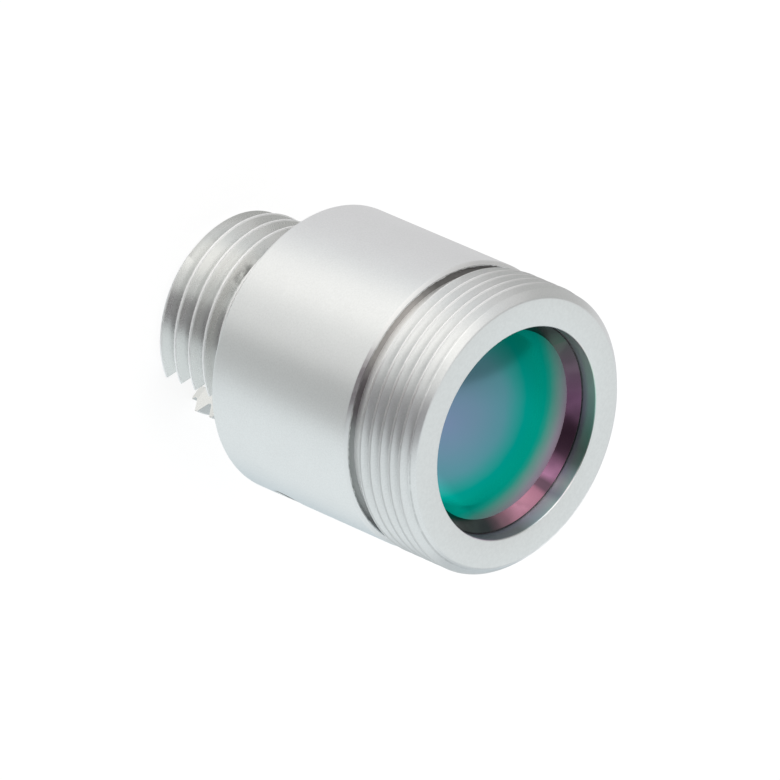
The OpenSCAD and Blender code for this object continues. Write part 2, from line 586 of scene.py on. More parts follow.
@dataclass(frozen=True)
class CoatedDome(Finish):
    """Polished asphere under an infrared coating that mirrors light in its own colours.

    The colours are painted reflections of the coating, in soft lopsided rings round a point to one
    side of the optical axis. The far ones turn hazy, and so does the edge toward +X, which also
    gets painted light, while the side toward -X gets painted shade.
    """

    ring_centre: tuple[float, float] = (1.6, -2.6)
    ring_reach: float = 7.0
    lopsided: float = 0.15
    # Painted reflection colours of the coating, in rings round ring_centre
    rings: Stops = (
        (0, (0.2, 0.26, 0.41)), (0.2, (0.16, 0.28, 0.38)), (0.37, (0.1, 0.3, 0.35)),
        (0.44, (0.04, 0.32, 0.31)), (0.51, (0.0, 0.33, 0.27)), (0.58, (0.0, 0.34, 0.26)),
        (0.66, (0.0, 0.36, 0.275)), (0.7, (0.02, 0.355, 0.275)), (0.76, (0.14, 0.35, 0.305)),
        (0.81, (0.25, 0.35, 0.35)), (0.87, (0.39, 0.34, 0.42)), (0.94, (0.48, 0.32, 0.43)),
    )
    haze: tuple[float, float] = (0.56, 0.7)
    right_haze: float = 0.1
    painted_right_light: float = 0.28
    right_edge: tuple[float, float] = (2.85, 3.4)
    painted_left_shade: float = 0.14
    left_side: tuple[float, float] = (-0.9, -2.5)
    veil_width: float = 0.9
    veil_share: float = 0.03
    roughness: float = 0.14

    def sockets(self, shader: Shader, place: Socket) -> Values:
        """Works out the painted rings, the haze and the painted light and shade of the sides."""
        x, y, _ = shader.split(place)
        centre_x, centre_y = mm(*self.ring_centre)
        away = length(x - centre_x, y - centre_y)
        share = (away + self.lopsided * x) / (self.ring_reach * MM)
        right = x.rise(*mm(*self.right_edge))
        left = x.rise(*mm(*self.left_side))
        veil = shader.noise(place, self.veil_width, 2.0)
        colours = shader.ramp(self.rings, share + self.veil_share * (veil - 0.5))
        # Painted light toward +X and painted shade toward -X
        level = 1 + self.painted_right_light * right - self.painted_left_shade * left
        clear, hazy = self.haze
        return {
            "Base Color": shader.scaled(colours, level),
            "Metallic": (share + self.right_haze * right).rise(hazy, clear),
            "Specular Tint": grey(0.5),
            "Specular IOR Level": 0.0,
            "Roughness": self.roughness,
        }


@dataclass(frozen=True)
class CoatedRim(Finish):
    """Raised rim of the lens under the same coating. Its plum and pink round the rim are painted
    reflections, pink highlights among them.
    """

    # Painted reflections round the rim, with pink highlights from 58 to 101 degrees
    painted_rim_reflections: Stops = (
        (-180, (0.06, 0.1, 0.08)), (-120, (0.1, 0.07, 0.1)), (-30, (0.1, 0.07, 0.1)),
        (10, (0.06, 0.08, 0.07)), (40, (0.06, 0.08, 0.08)), (58, (0.26, 0.14, 0.18)),
        (70, (0.6, 0.28, 0.38)), (82, (0.4, 0.18, 0.26)), (86, (0.12, 0.07, 0.1)),
        (90, (0.12, 0.07, 0.1)), (94, (0.36, 0.17, 0.29)), (101, (0.3, 0.14, 0.24)),
        (108, (0.09, 0.045, 0.075)), (124, (0.09, 0.045, 0.075)), (140, (0.16, 0.075, 0.14)),
        (160, (0.13, 0.09, 0.12)), (180, (0.08, 0.1, 0.09)),
    )
    stray: float = 0.02
    veil_width: float = 0.8
    veil_reach: tuple[float, float] = (0.35, 0.6)
    dark: Colour = (0.02, 0.01, 0.02)
    dark_share: float = 0.25
    roughness: float = 0.2

    def sockets(self, shader: Shader, place: Socket) -> Values:
        """Works out the colours, a little darker where the veil is thin."""
        x, y, _ = shader.split(place)
        veil = shader.noise(place, self.veil_width, 1.0)
        colours = shader.round_about(self.painted_rim_reflections, x, y, self.stray * (veil - 0.5))
        darker = shader.blend(self.dark_share, colours, self.dark)
        return {
            "Base Color": shader.blend(veil.rise(*self.veil_reach), darker, colours),
            "Metallic": 1.0,
            "Roughness": self.roughness,
        }


@dataclass(frozen=True)
class CuredEpoxy(Finish):
    """Dark epoxy with the soft skin that it cures to."""

    colour: Colour = (0.02, 0.02, 0.022)
    roughness: float = 0.32
    light: float = 2.0
    skin_gloss: float = 0.2
    skin_width: float = 0.25
    skin_depth: float = 0.01

    def sockets(self, shader: Shader, place: Socket) -> Values:
        """Works out the skin."""
        skin = shader.noise(place, self.skin_width, 3.0)
        return {
            "Base Color": shader.blend(skin, self.colour, shade(self.colour, self.light)),
            "Roughness": self.roughness + self.skin_gloss * (skin - 0.5),
            "Normal": shader.bump(skin, self.skin_depth),
        }


@dataclass(frozen=True)
class GroundCeramic(Finish):
    """Off-white zirconia, ground and faintly glossy."""

    colour: Colour = (0.86, 0.83, 0.74)
    roughness: float = 0.25
    dark: float = 0.94
    grain_gloss: float = 0.1
    grain_width: float = 0.08
    grain_depth: float = 0.0006

    def sockets(self, shader: Shader, place: Socket) -> Values:
        """Works out the ground grain."""
        grain = shader.noise(place, self.grain_width, 3.0)
        return {
            "Base Color": shader.blend(grain, shade(self.colour, self.dark), self.colour),
            "Roughness": self.roughness + self.grain_gloss * (grain - 0.5),
            "Normal": shader.bump(grain, self.grain_depth),
        }


# Workpieces


class Corner(NamedTuple):
    """A corner of a turned section: radius, height and the size of its eased edge."""

    r: float
    z: float
    ease: float = 0.0


def ease_corners(bm: BMesh, corners: list[bmesh.types.BMVert], size: float, segments: int) -> None:
    """Rounds corners of a flat section.

    Args:
        bm: the section.
        corners: its corners to round.
        size: how far from the corner the rounding starts.
        segments: number of steps in the rounding.
    """
    bmesh.ops.bevel(
        bm, geom=corners, offset=size, offset_type="OFFSET", affect="VERTICES",
        segments=segments, profile=0.5, material=-1,
    )


def put_in_scene(bm: BMesh, name: str) -> bpy.types.Object:
    """Puts a bmesh in the scene.

    Args:
        bm: the shape, which is freed.
        name: name of the object and its mesh.

    Returns:
        The object.
    """
    mesh = bpy.data.meshes.new(name)
    bm.to_mesh(mesh)
    bm.free()
    made = bpy.data.objects.new(name, mesh)
    bpy.context.scene.collection.objects.link(made)
    return made


class Workpiece:
    """A sub-assembly whose meshes are turned, swept, cut and finished in millimetres."""

    def lathe(self, section: Sequence[Corner]) -> BMesh:
        """Turns a closed half section about the Z axis.

        Args:
            section: corners of the section, in order round it.

        Returns:
            The closed turned shape.
        """
        bm = bmesh.new()
        corners = [bm.verts.new((c.r, 0.0, c.z)) for c in section]
        bm.faces.new(corners)
        for ease in sorted({c.ease for c in section if c.ease}):
            eased = [v for v, c in zip(corners, section) if c.ease == ease]
            ease_corners(bm, eased, ease, segments=3)
        bmesh.ops.delete(bm, geom=bm.faces[:], context="FACES_ONLY")
        bmesh.ops.spin(
            bm, geom=bm.verts[:] + bm.edges[:], angle=FULL_TURN, steps=TURN_STEPS,
            use_merge=True, **AXIS,
        )
        bmesh.ops.remove_doubles(bm, verts=bm.verts[:], dist=1e-5)
        bmesh.ops.recalc_face_normals(bm, faces=bm.faces[:])
        return bm

    def slab(self, outline: Sequence[tuple[float, float]], low: float, high: float) -> BMesh:
        """Makes a flat outline solid.

        Args:
            outline: its points in Y and Z.
            low: X that the solid starts at.
            high: X that it ends at.

        Returns:
            The closed solid.
        """
        bm = bmesh.new()
        face = bm.faces.new([bm.verts.new((low, y, z)) for y, z in outline])
        grown = bmesh.ops.extrude_face_region(bm, geom=[face], use_keep_orig=True)
        far = [v for v in grown["geom"] if isinstance(v, bmesh.types.BMVert)]
        bmesh.ops.translate(bm, verts=far, vec=(high - low, 0, 0))
        bmesh.ops.recalc_face_normals(bm, faces=bm.faces[:])
        return bm

    def cut(self, bm: BMesh, cutters: Sequence[BMesh]) -> BMesh:
        """Takes each cutter away from a shape.

        Args:
            bm: the shape, which is freed.
            cutters: the closed shapes to take away, which are freed.

        Returns:
            What is left of the shape.
        """
        blank = put_in_scene(bm, "blank")
        tools = [put_in_scene(cutter, "tool") for cutter in cutters]
        for tool in tools:
            step = blank.modifiers.new("cut", "BOOLEAN")
            step.operation = "DIFFERENCE"
            step.solver = "EXACT"
            step.object = tool
        bpy.context.view_layer.update()
        graph = bpy.context.evaluated_depsgraph_get()
        left = bmesh.new()
        left.from_object(blank, graph)
        for piece in [blank, *tools]:
            worn = piece.data
            bpy.data.objects.remove(piece)
            bpy.data.meshes.remove(worn)
        return left

    def finish(
        self, bm: BMesh, node: str, slot: Slot, materials: Sequence[Material]
    ) -> bpy.types.Object:
        """Makes a shape a finished piece that stands for a node of the model.

        Args:
            bm: the shape, which is freed.
            node: name of the node that it replaces.
            slot: slot of the record that its finish belongs to; not used.
            materials: its materials, in the order of its faces' numbers.

        Returns:
            The piece, in metres, riding on the part.
        """
        bmesh.ops.scale(bm, vec=(MM, MM, MM), verts=bm.verts[:])
        piece = put_in_scene(bm, node + "_piece")
        mesh = piece.data
        for material in materials:
            mesh.materials.append(material)
        mesh.polygons.foreach_set("use_smooth", [True] * len(mesh.polygons))
        mesh.set_sharp_from_angle(angle=SMOOTH_ANGLE)
        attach(piece, "root")
        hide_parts(node)
        LOG.info("%s: %d vertices, %d faces", piece.name, len(mesh.vertices), len(mesh.polygons))
        return piece

    def mark_faced(self, bm: BMesh) -> None:
        """Gives the flat rings of a turned shape the number of the faced finish."""
        for face in bm.faces:
            face.normal_update()
            faced = abs(face.normal.z) > FACED_SLANT
            face.material_index = Side.FACED.value if faced else Side.TURNED.value


@dataclass(frozen=True)
class Thread:
    """A right-handed thread. One crest passes through crest_z at CREST_AZIMUTH.

    Its flanks lean by lean, and the values below that are shares of the pitch.
    """

    pitch: float
    crest_r: float
    crest_z: float
    start_z: float
    end_z: float
    runout_turn: float = 0.0
    lean: float = 30.0
    crest_flat: float = 1 / 8
    root_half: float = 1 / 12
    crest_ease: float = 0.03
    root_ease: float = 0.07
    beyond: float = 0.2
    runout_lift: float = 0.1

    @property
    def depth(self) -> float:
        """Depth from crest to root."""
        return THREAD_DEPTH * self.pitch

    def half_section(self) -> list[tuple[float, float]]:
        """Returns radius and half height of the groove's upper side, from the root outwards."""
        top_half = self.pitch * (1 - self.crest_flat) / 2
        ease = self.pitch * self.crest_ease
        flare = ease * math.tan(math.radians(self.lean))
        return [
            (self.crest_r - self.depth, self.pitch * self.root_half),
            (self.crest_r - ease, top_half - flare),
            (self.crest_r, top_half + flare),
            (self.crest_r + self.pitch * self.beyond, top_half + flare),
        ]

    def cutter(self) -> BMesh:
        """Sweeps the section of the groove along its helix.

        Returns:
            The closed shape that leaves the thread when it is cut away.
        """
        bm = bmesh.new()
        half = self.half_section()
        loop = [bm.verts.new((r, 0.0, self.start_z + h)) for r, h in half]
        loop += [bm.verts.new((r, 0.0, self.start_z - h)) for r, h in reversed(half)]
        bm.faces.new(loop)
        ease_corners(bm, [loop[0], loop[-1]], self.pitch * self.root_ease, segments=2)
        bmesh.ops.delete(bm, geom=bm.faces[:], context="FACES_ONLY")
        groove_z = self.crest_z + self.pitch / 2
        start = math.radians(CREST_AZIMUTH) + FULL_TURN * (self.start_z - groove_z) / self.pitch
        bmesh.ops.rotate(bm, verts=bm.verts[:], cent=(0, 0, 0), matrix=Matrix.Rotation(start, 3, "Z"))
        rise = self.pitch / TURN_STEPS
        steps = round((self.end_z - self.start_z) / rise)
        turn = FULL_TURN / TURN_STEPS
        ring = bmesh.ops.spin(
            bm, geom=bm.verts[:] + bm.edges[:], dvec=(0, 0, rise), angle=steps * turn,
            steps=steps, **AXIS,
        )["geom_last"]
        if self.runout_turn:
            away = round(self.runout_turn / 360 * TURN_STEPS)
            lift = (self.depth + self.pitch * self.runout_lift) / away
            heading = start + steps * turn
            bmesh.ops.spin(
                bm, geom=ring, dvec=(lift * math.cos(heading), lift * math.sin(heading), rise),
                angle=away * turn, steps=away, **AXIS,
            )
        rims = [e for e in bm.edges if e.is_boundary]
        bmesh.ops.holes_fill(bm, edges=rims, sides=0)
        bmesh.ops.recalc_face_normals(bm, faces=bm.faces[:])
        return bm


# Pieces


class NodeBox:
    """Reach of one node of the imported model, in millimetres."""

    def __init__(self, node: str) -> None:
        """Reads the node's box from the frame."""
        low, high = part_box(node)
        self.radius = high.x / MM
        self.bottom = low.z / MM
        self.top = high.z / MM
        self.middle = (self.bottom + self.top) / 2


def port_aim(height: float) -> Matrix:
    """Returns the turn and move that lay an upright shape along the glue port at a height."""
    lift = Matrix.Translation((0, 0, height))
    turn = Matrix.Rotation(math.radians(PORT_TURN), 4, "Z")
    return lift @ turn @ Matrix.Rotation(math.radians(90), 4, "Y")


@dataclass
class Barrel(Workpiece):
    """The turned barrel: front thread, relief, plain body, lens seat and drilled glue port."""

    lens_wall: float = 1.45
    ledge: float = 0.5
    stem_room: float = 0.3
    front_bevel: float = 0.35
    rear_bevel: float = 0.15
    thread_len: float = 2.65
    pitch: float = 0.5
    relief_w: float = 0.6
    shoulder_bevel: float = 0.12
    relief_extra: float = 0.13
    ease: float = 0.05
    shoulder_ease: float = 0.02
    port_break: float = 0.04
    crest_below_front: float = 0.6
    flat: float = 0.9
    upright: float = 0.1
    bore_slant: float = 0.8
    near: float = 0.03
    nearest: float = 0.01
    # Painted highlights on the crests, and painted shade from -68 to -55 degrees
    crest_light_and_shade: Stops = (
        (-180, grey(0.8)), (-150, grey(0.8)), (-125, grey(1.0)), (-80, grey(1.0)),
        (-68, (0.62, 0.61, 0.61)), (-55, grey(0.6)), (-46, (0.78, 0.79, 0.79)), (180, grey(0.8)),
    )
    # Painted highlight along the front chamfer's burr, with painted shadow from -56 to 10 degrees
    burr_highlight_and_shadow: Stops = (
        (-180, grey(1.0)), (-66, grey(1.0)), (-56, (0.58, 0.59, 0.59)), (10, (0.58, 0.59, 0.59)),
        (60, grey(1.0)), (180, grey(1.0)),
    )
    # Painted shade: a dark band on the shoulder's bevel from -72 to -60 degrees
    shoulder_shade: Stops = (
        (-180, grey(0.84)), (-82, grey(0.84)), (-72, (0.4, 0.37, 0.39)), (-60, (0.4, 0.37, 0.39)),
        (-51, (0.82, 0.83, 0.83)), (180, grey(0.84)),
    )
    # Painted reflections on the bore wall: light and dark bands round the axis
    bore_wall_reflections: Stops = (
        (-180, (0.85, 0.75, 0.8)), (-150, (0.5, 0.52, 0.56)), (0, (0.5, 0.52, 0.56)),
        (24, (0.75, 0.65, 0.77)), (51, (0.53, 0.55, 0.6)), (60, (0.56, 0.62, 0.64)),
        (69, (0.9, 0.95, 1.0)), (82, grey(1.0)), (87, (0.7, 0.7, 0.77)), (93, (1.0, 0.98, 0.98)),
        (100, (0.6, 0.6, 0.68)), (106, (0.28, 0.3, 0.31)), (114, (0.2, 0.21, 0.22)),
        (123, (0.2, 0.24, 0.25)), (135, (0.4, 0.42, 0.48)), (150, (0.5, 0.56, 0.58)),
        (180, (0.85, 0.75, 0.8)),
    )
    # Painted reflections round the bore's mouth
    bore_mouth_reflections: Stops = (
        (-180, (0.82, 0.75, 0.73)), (-150, (0.5, 0.52, 0.56)), (0, (0.5, 0.52, 0.56)),
        (24, (0.84, 0.72, 0.86)), (40, (0.55, 0.55, 0.57)), (57, (0.5, 0.52, 0.5)),
        (69, (0.84, 0.9, 0.94)), (82, grey(1.0)), (87, (0.67, 0.65, 0.71)), (94, (0.91, 0.86, 0.86)),
        (100, (0.65, 0.65, 0.68)), (106, (0.3, 0.33, 0.31)), (114, (0.24, 0.29, 0.25)),
        (123, (0.27, 0.42, 0.35)), (135, (0.42, 0.6, 0.54)), (148, (0.54, 0.72, 0.64)),
        (162, (0.66, 0.76, 0.68)), (180, (0.82, 0.75, 0.73)),
    )

    def materials(self) -> list[Material]:
        """Builds the barrel's materials, in the order of Side. Several carry painted light and shade.
        """
        burr_highlight_and_shadow = Line(z=14.79, climb=0.5, half_height=0.035, broken=0.6, colours=self.burr_highlight_and_shadow)
        shoulder_shade = Line(z=11.6, climb=0.0, half_height=0.08, broken=0.3, colours=self.shoulder_shade)
        # Painted reflections on the bore wall and round its mouth
        bore_reflections = Line(z=14.4, climb=0.0, half_height=1.2, broken=0.15, colours=self.bore_wall_reflections)
        mouth = Line(z=14.85, climb=0.0, half_height=0.5, broken=0.0, colours=self.bore_mouth_reflections)
        finishes = [
            TurnedSteel(
                "barrel_turned", (0.82, 0.83, 0.83), crest_r=5.5, threads=(12.0, 15.0),
                crest_light_and_shade=self.crest_light_and_shade, lines=(burr_highlight_and_shadow, shoulder_shade),
            ),
            FacedSteel("barrel_faced", (0.785, 0.8, 0.795)),
            # Painted shade on the relief's wall
            ReliefWall("relief_wall_shade", edge_r=5.38),
            # Painted shade: the bore's steel is given a darker colour
            TurnedSteel("barrel_bored_shade", (0.4, 0.42, 0.46), roughness=0.3, lines=(bore_reflections, mouth)),
            # Painted shade: the rear face is darker, as the table below it lies in shadow
            FacedSteel("barrel_rear_shade", (0.56, 0.55, 0.53)),
            # Painted light: the relief's floor is brighter than the body's steel
            TurnedSteel("relief_floor_light", (1.0, 1.0, 0.99)),
        ]
        return [finish.material() for finish in finishes]

    def relief_r(self, box: NodeBox) -> float:
        """Returns the radius of the relief's floor."""
        return box.radius - THREAD_DEPTH * self.pitch - self.relief_extra

    def relief_z(self, box: NodeBox) -> float:
        """Returns the height of the relief's wall."""
        return box.top - self.thread_len - self.relief_w

    def section(self, box: NodeBox) -> list[Corner]:
        """Works out the barrel's half section with eased edges.

        Args:
            box: reach of the barrel.

        Returns:
            The corners of the section.
        """
        lens = NodeBox("lens")
        glue = NodeBox("lens_adhesive")
        outer = box.radius
        bore = outer - self.lens_wall
        stem_bore = outer - STEM_WALL
        relief_r = self.relief_r(box)
        relief_z = self.relief_z(box)
        thread_end = box.top - self.thread_len
        groove_top = glue.bottom + GLUE_GROOVE
        stem_end = NodeBox("receptacle").top + self.stem_room
        return [
            Corner(stem_bore, box.bottom, self.ease),
            Corner(outer - self.rear_bevel, box.bottom, self.ease),
            Corner(outer, box.bottom + self.rear_bevel, self.ease),
            Corner(outer, relief_z - self.shoulder_bevel, self.shoulder_ease),
            Corner(outer - self.shoulder_bevel, relief_z, self.shoulder_ease),
            Corner(relief_r, relief_z),
            Corner(relief_r, thread_end),
            Corner(outer, thread_end, self.ease),
            Corner(outer, box.top - self.front_bevel, self.ease),
            Corner(outer - self.front_bevel, box.top, self.ease),
            Corner(bore, box.top, self.ease),
            Corner(bore, groove_top),
            Corner(glue.radius, groove_top),
            Corner(glue.radius, glue.bottom),
            Corner(bore, glue.bottom),
            Corner(bore, lens.bottom),
            Corner(bore - self.ledge, lens.bottom),
            Corner(bore - self.ledge, stem_end),
            Corner(stem_bore, stem_end),
        ]

    def thread(self, box: NodeBox) -> Thread:
        """Returns the front thread, which starts in the relief and leaves past the front face."""
        return Thread(
            pitch=self.pitch,
            crest_r=box.radius,
            crest_z=box.top - self.crest_below_front,
            start_z=box.top - self.thread_len - self.relief_w / 2,
            end_z=box.top + self.pitch,
        )

    def port_cutter(self, box: NodeBox) -> BMesh:
        """Makes the drill of the glue port, with the flare that breaks its edge.

        Args:
            box: reach of the barrel.

        Returns:
            The closed drill, aimed along the port.
        """
        port = NodeBox("port_adhesive")
        drill_r = (port.top - port.bottom) / 2
        inner = box.radius - STEM_WALL - PORT_REACH
        beyond = box.radius + 3 * self.port_break
        drill = self.lathe([
            Corner(0.0, inner),
            Corner(drill_r, inner),
            Corner(drill_r, box.radius - self.port_break),
            Corner(drill_r + 4 * self.port_break, beyond),
            Corner(0.0, beyond),
        ])
        bmesh.ops.transform(drill, matrix=port_aim(port.middle), verts=drill.verts[:])
        return drill

    def side(self, face: bmesh.types.BMFace, box: NodeBox) -> Side | None:
        """Tells whether a face has a finish of its own.

        Args:
            face: a face that mark_faced has numbered.
            box: reach of the barrel.

        Returns:
            The side that it belongs to, or nothing where its number stays.
        """
        centre = face.calc_center_median()
        radius = centre.xy.length
        slant = face.normal.z
        if slant > self.flat and abs(centre.z - self.relief_z(box)) < self.near:
            return Side.RELIEF
        if slant < -self.flat and centre.z < box.bottom + self.near:
            return Side.REAR
        if abs(slant) < self.upright and abs(radius - self.relief_r(box)) < self.nearest:
            return Side.FLOOR
        if abs(slant) < self.bore_slant and radius < box.radius - self.lens_wall + self.near:
            return Side.BORED
        return None

    def build(self, materials: Sequence[Material]) -> bpy.types.Object:
        """Turns, threads and drills the barrel.

        Args:
            materials: its materials, in the order of Side.

        Returns:
            The finished barrel.
        """
        box = NodeBox("barrel")
        cutters = [self.thread(box).cutter(), self.port_cutter(box)]
        made = self.cut(self.lathe(self.section(box)), cutters)
        self.mark_faced(made)
        for face in made.faces:
            side = self.side(face, box)
            if side:
                face.material_index = side.value
        return self.finish(made, "barrel", Slot.BARREL, materials)


@dataclass
class Receptacle(Workpiece):
    """The turned and milled receptacle: threaded nipple with its key slot, boss and stem."""

    nipple_r: float = 3.97
    nipple_bevel: float = 0.4
    nipple_bore_r: float = 3.05
    nipple_bore_depth: float = 4.4
    pitch: float = 0.75
    crest_z: float = 1.104
    thread_end: float = 3.95
    runout_turn: float = 80.0
    boss_r: float = 2.25
    boss_recess: float = 0.9
    lip_t: float = 0.5
    lip_r: float = 1.425
    lip_ease: float = 0.03
    pocket_r: float = 1.65
    slot_w: float = 2.3
    slot_len: float = 4.3
    slot_steps: int = 24
    stem_gap: float = 0.02
    ease: float = 0.05
    # Darker patches on the nipple: scuffs, and painted shade under the barrel on the top turns
    scuffs_and_shade: tuple[ScuffAndShade, ...] = (
        ScuffAndShade(-114, 0.84, 7, 0.13, 0.4),
        ScuffAndShade(-105, 0.75, 5, 0.2, 0.12),
        ScuffAndShade(-94, 2.92, 9, 0.24, 0.5),
        ScuffAndShade(-105, 3.05, 34, 0.4, 0.2),
    )

    def materials(self) -> list[Material]:
        """Builds the materials of its turned and its faced sides."""
        turned = TurnedSteel(
            "receptacle_turned", (0.77, 0.78, 0.77), crest_r=self.nipple_r, threads=(0.3, 4.5),
            thread_roughness=0.28, mark_depth=0.0004, grain_share=0.025, scuffs_and_shade=self.scuffs_and_shade,
        )
        return [turned.material(), FacedSteel("receptacle_faced", (0.78, 0.79, 0.79)).material()]

    def section(self) -> list[Corner]:
        """Works out the receptacle's half section with eased edges.

        Returns:
            The corners of the section.
        """
        box = NodeBox("receptacle")
        barrel = NodeBox("barrel")
        stop = NodeBox("ferrule_stop")
        stem_r = barrel.radius - STEM_WALL - self.stem_gap
        return [
            Corner(self.nipple_bore_r, 0.0, self.ease),
            Corner(self.nipple_r - self.nipple_bevel, 0.0, self.ease),
            Corner(self.nipple_r, self.nipple_bevel),
            Corner(self.nipple_r, barrel.bottom),
            Corner(stem_r, barrel.bottom),
            Corner(stem_r, box.top, self.ease),
            Corner(stop.radius + box.top - stop.top, box.top),
            Corner(stop.radius, stop.top),
            Corner(stop.radius, stop.bottom),
            Corner(self.pocket_r, stop.bottom),
            Corner(self.pocket_r, self.boss_recess + self.lip_t),
            Corner(self.lip_r, self.boss_recess + self.lip_t),
            Corner(self.lip_r, self.boss_recess + self.lip_t / 2),
            Corner(self.lip_r + self.lip_t / 2, self.boss_recess, self.lip_ease),
            Corner(self.boss_r, self.boss_recess, self.ease),
            Corner(self.boss_r, self.nipple_bore_depth),
            Corner(self.nipple_bore_r, self.nipple_bore_depth),
        ]

    def thread(self) -> Thread:
        """Returns the nipple's thread, which runs out before the barrel."""
        return Thread(
            pitch=self.pitch,
            crest_r=self.nipple_r,
            crest_z=self.crest_z,
            start_z=-self.pitch,
            end_z=self.thread_end,
            runout_turn=self.runout_turn,
        )

    def slot_cutter(self) -> BMesh:
        """Makes the milling cutter's path through the nipple's wall.

        Returns:
            The closed path with its round end.
        """
        half = self.slot_w / 2
        centre = self.slot_len - half
        turns = [math.pi * i / self.slot_steps for i in range(self.slot_steps + 1)]
        outline = [(-half, -CUTTER_SPARE), (half, -CUTTER_SPARE)]
        outline += [(half * math.cos(a), centre + half * math.sin(a)) for a in turns]
        inner = (self.nipple_bore_r + self.boss_r) / 2
        return self.slab(outline, inner, self.nipple_r + CUTTER_SPARE)

    def build(self, materials: Sequence[Material]) -> bpy.types.Object:
        """Turns, threads and mills the receptacle.

        Args:
            materials: its turned and its faced material.

        Returns:
            The finished receptacle.
        """
        cutters = [self.thread().cutter(), self.slot_cutter()]
        made = self.cut(self.lathe(self.section()), cutters)
        self.mark_faced(made)
        return self.finish(made, "receptacle", Slot.RECEPTACLE, materials)


@dataclass
class LensCell(Workpiece):
    """The moulded asphere and the adhesive round it."""

    vertex_radius: float = 9.5
    conic: float = -0.6
    rim_w: float = 0.39
    rim_ease: float = 0.03
    rear_bevel: float = 0.2
    gap: float = 0.05
    dome_steps: int = 48

    def sag(self, r: float) -> float:
        """Returns how far the dome has dropped at radius r."""
        bend = 1 - (1 + self.conic) * (r / self.vertex_radius) ** 2
        return r * r / (self.vertex_radius * (1 + math.sqrt(bend)))

    def lens(self, materials: Sequence[Material]) -> bpy.types.Object:
        """Builds the lens.

        Args:
            materials: its materials, in the order of LensSide.

        Returns:
            The finished lens.
        """
        box = NodeBox("lens")
        foot_r = box.radius - self.rim_w
        foot_z = box.top - self.sag(foot_r)
        radii = [foot_r * i / self.dome_steps for i in range(self.dome_steps + 1)]
        section = [Corner(r, box.top - self.sag(r)) for r in radii]
        section += [
            Corner(box.radius, foot_z + self.rim_w, self.rim_ease),
            Corner(box.radius, box.bottom + self.rear_bevel),
            Corner(box.radius - self.rear_bevel, box.bottom),
            Corner(0.0, box.bottom),
        ]
        made = self.lathe(section)
        for face in made.faces:
            centre = face.calc_center_median()
            rim = centre.xy.length > foot_r and centre.z > box.bottom + self.rear_bevel
            face.material_index = LensSide.RIM.value if rim else LensSide.DOME.value
        return self.finish(made, "lens", Slot.LENS, materials)

    def adhesive(self, material: Material) -> bpy.types.Object:
        """Builds the ring of adhesive, whose top has sunk a little as it cured.

        Args:
            material: its material.

        Returns:
            The finished ring.
        """
        box = NodeBox("lens_adhesive")
        lens = NodeBox("lens")
        wall = lens.radius + self.gap
        top = box.bottom + GLUE_GROOVE
        made = self.lathe([
            Corner(lens.radius, box.bottom),
            Corner(box.radius, box.bottom),
            Corner(box.radius, top),
            Corner(wall, top),
            Corner(wall, box.top),
            Corner((lens.radius + wall) / 2, box.top - self.gap / 3),
            Corner(lens.radius, box.top),
        ])
        return self.finish(made, "lens_adhesive", Slot.EPOXY, [material])


@dataclass
class GluePort(Workpiece):
    """The plug of adhesive in the barrel's glue port."""

    inset: float = 0.05
    sink: float = 0.1
    stem_r: float = 3.73
    rings: int = 8

    def build(self, material: Material) -> bpy.types.Object:
        """Builds the plug, from the stem out to its sunken skin.

        Args:
            material: its material.

        Returns:
            The finished plug.
        """
        box = NodeBox("port_adhesive")
        outer = NodeBox("barrel").radius - self.inset
        radius = (box.top - box.bottom) / 2
        shares = [1 - i / self.rings for i in range(self.rings + 1)]
        inner = self.stem_r - PORT_REACH
        section = [Corner(0.0, inner), Corner(radius, inner)]
        section += [Corner(radius * s, outer - self.sink * (1 - s * s)) for s in shares]
        plug = self.lathe(section)
        bmesh.ops.transform(plug, matrix=port_aim(box.middle), verts=plug.verts[:])
        low = box.bottom - CUTTER_SPARE
        high = box.top + CUTTER_SPARE
        stem = self.lathe([
            Corner(0.0, low),
            Corner(self.stem_r, low),
            Corner(self.stem_r, high),
            Corner(0.0, high),
        ])
        made = self.cut(plug, [stem])
        return self.finish(made, "port_adhesive", Slot.EPOXY, [material])


@dataclass
class FerruleSeat(Workpiece):
    """The split sleeve and the stop ring inside the receptacle."""

    bore_r: float = 1.25
    split: float = 0.4
    light_r: float = 0.7
    light_land: float = 0.2
    beam_angle: float = 36.0
    ease: float = 0.04
    light_ease: float = 0.02

    def sleeve(self, material: Material) -> bpy.types.Object:
        """Builds the split sleeve.

        Args:
            material: its material.

        Returns:
            The finished sleeve.
        """
        box = NodeBox("ferrule_sleeve")
        tube = self.lathe([
            Corner(self.bore_r, box.bottom, self.ease),
            Corner(box.radius, box.bottom, self.ease),
            Corner(box.radius, box.top, self.ease),
            Corner(self.bore_r, box.top, self.ease),
        ])
        half = self.split / 2
        low = box.bottom - CUTTER_SPARE
        high = box.top + CUTTER_SPARE
        outline = [(-half, low), (half, low), (half, high), (-half, high)]
        made = self.cut(tube, [self.slab(outline, -box.radius - CUTTER_SPARE, 0.0)])
        return self.finish(made, "ferrule_sleeve", Slot.CERAMIC, [material])

    def stop(self, materials: Sequence[Material]) -> bpy.types.Object:
        """Builds the stop ring with its cone.

        Args:
            materials: its turned and its faced material.

        Returns:
            The finished ring.
        """
        box = NodeBox("ferrule_stop")
        land_z = box.bottom + self.light_land
        mouth = self.light_r + (box.top - land_z) * math.tan(math.radians(self.beam_angle))
        made = self.lathe([
            Corner(self.light_r, box.bottom, self.light_ease),
            Corner(box.radius, box.bottom),
            Corner(box.radius, box.top),
            Corner(mouth, box.top, self.light_ease),
            Corner(self.light_r, land_z),
        ])
        self.mark_faced(made)
        return self.finish(made, "ferrule_stop", Slot.STOP, materials)


# Studio


